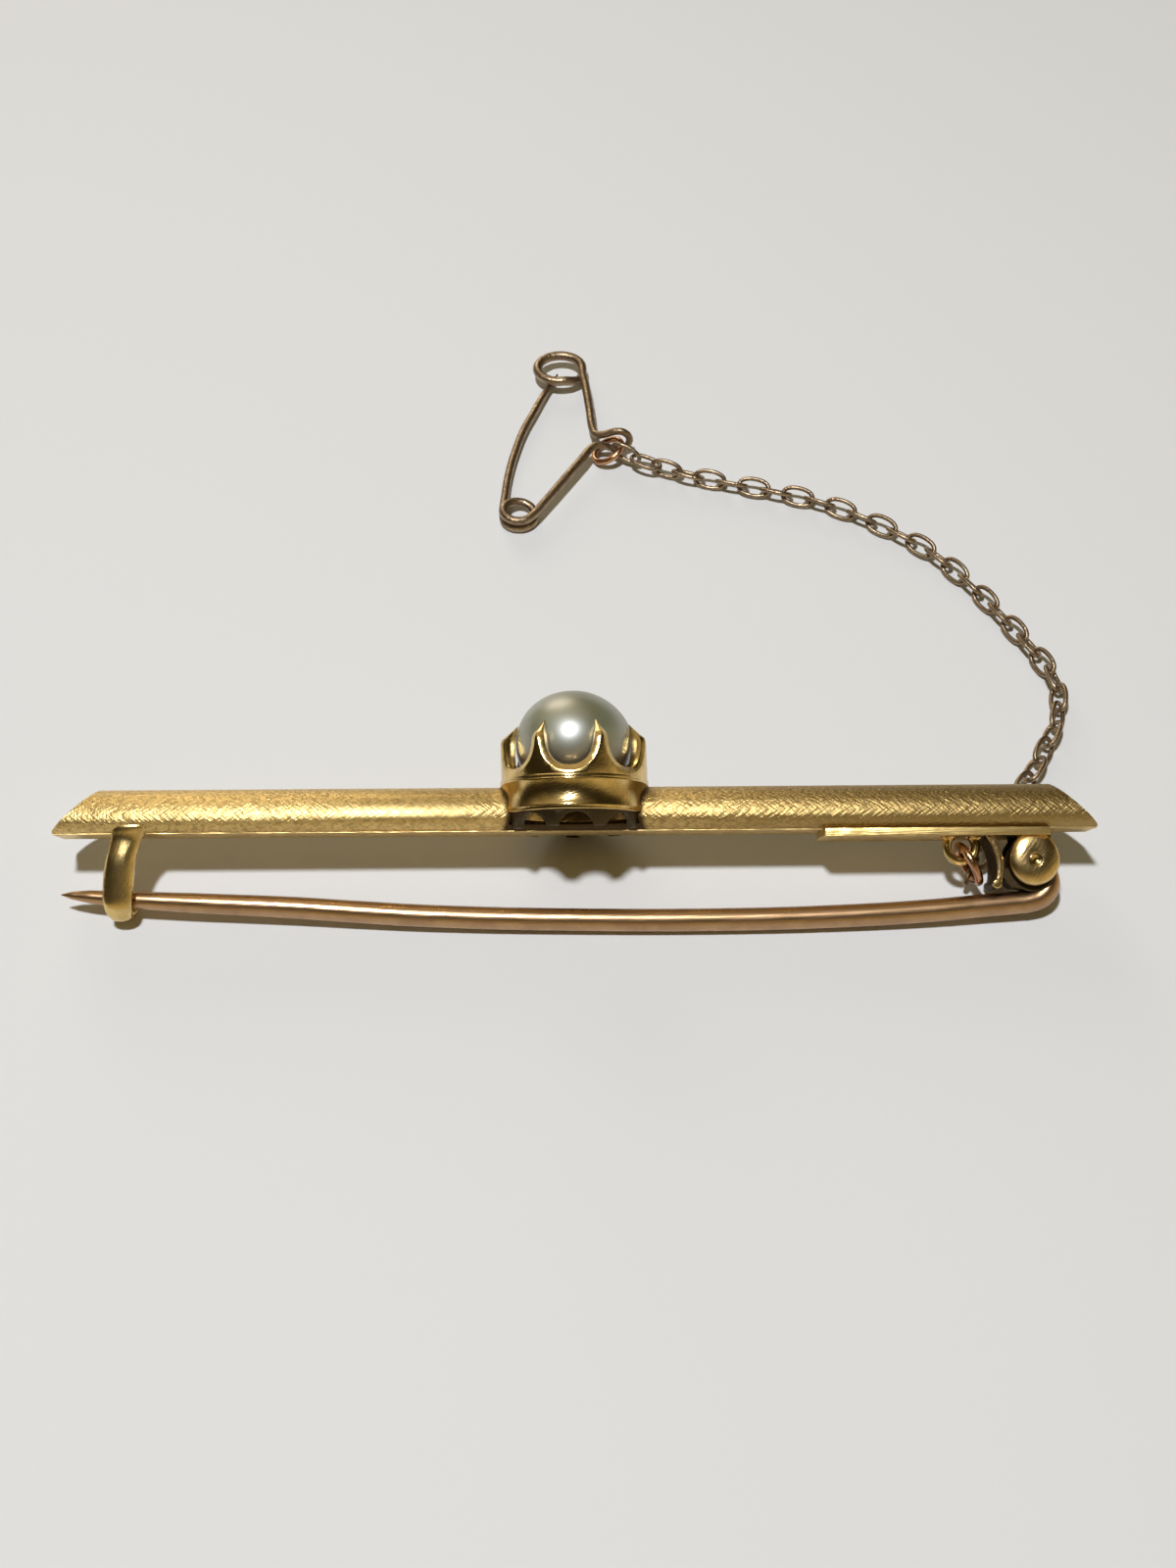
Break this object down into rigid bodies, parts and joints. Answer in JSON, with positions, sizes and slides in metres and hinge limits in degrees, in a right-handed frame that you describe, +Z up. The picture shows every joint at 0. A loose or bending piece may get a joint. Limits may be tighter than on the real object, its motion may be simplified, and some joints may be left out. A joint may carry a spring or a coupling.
{
  "type": "pearl bar brooch",
  "caption": "Gold bar brooch with a pearl in a claw setting, a hinged pin in a hook catch, and a safety chain with a small safety pin",
  "frame": {"origin": "under the middle of the object's box, on the surface it lies on", "axes": "+X along the bar from the catch to the hinge, +Y from the pin towards the chain and the safety pin, +Z up"},
  "size_m": [0.0509, 0.0422, 0.0079],
  "materials": {
    "yellow_gold": "satin bar, polished setting",
    "rose_gold": "worn polish",
    "copper_gold": "worn polish",
    "pearl": "nacre"
  },
  "bodies": {
    "brooch": {"brooch_body": "yellow_gold", "pearl": "pearl", "hinge_rivet": "yellow_gold", "bar_ring": "copper_gold", "chain": "rose_gold", "far_ring": "copper_gold", "safety_pin": "rose_gold"},
    "pin": {"pin_stem": "rose_gold"}
  },
  "joints": [
    {"name": "pin_swing", "type": "hinge", "parent": "brooch", "child": "pin", "pos_m": [0.02153, -0.01826, 0.00195], "axis": [0, -0.515, 0.8572], "range_deg": [0, 75]}
  ]
}
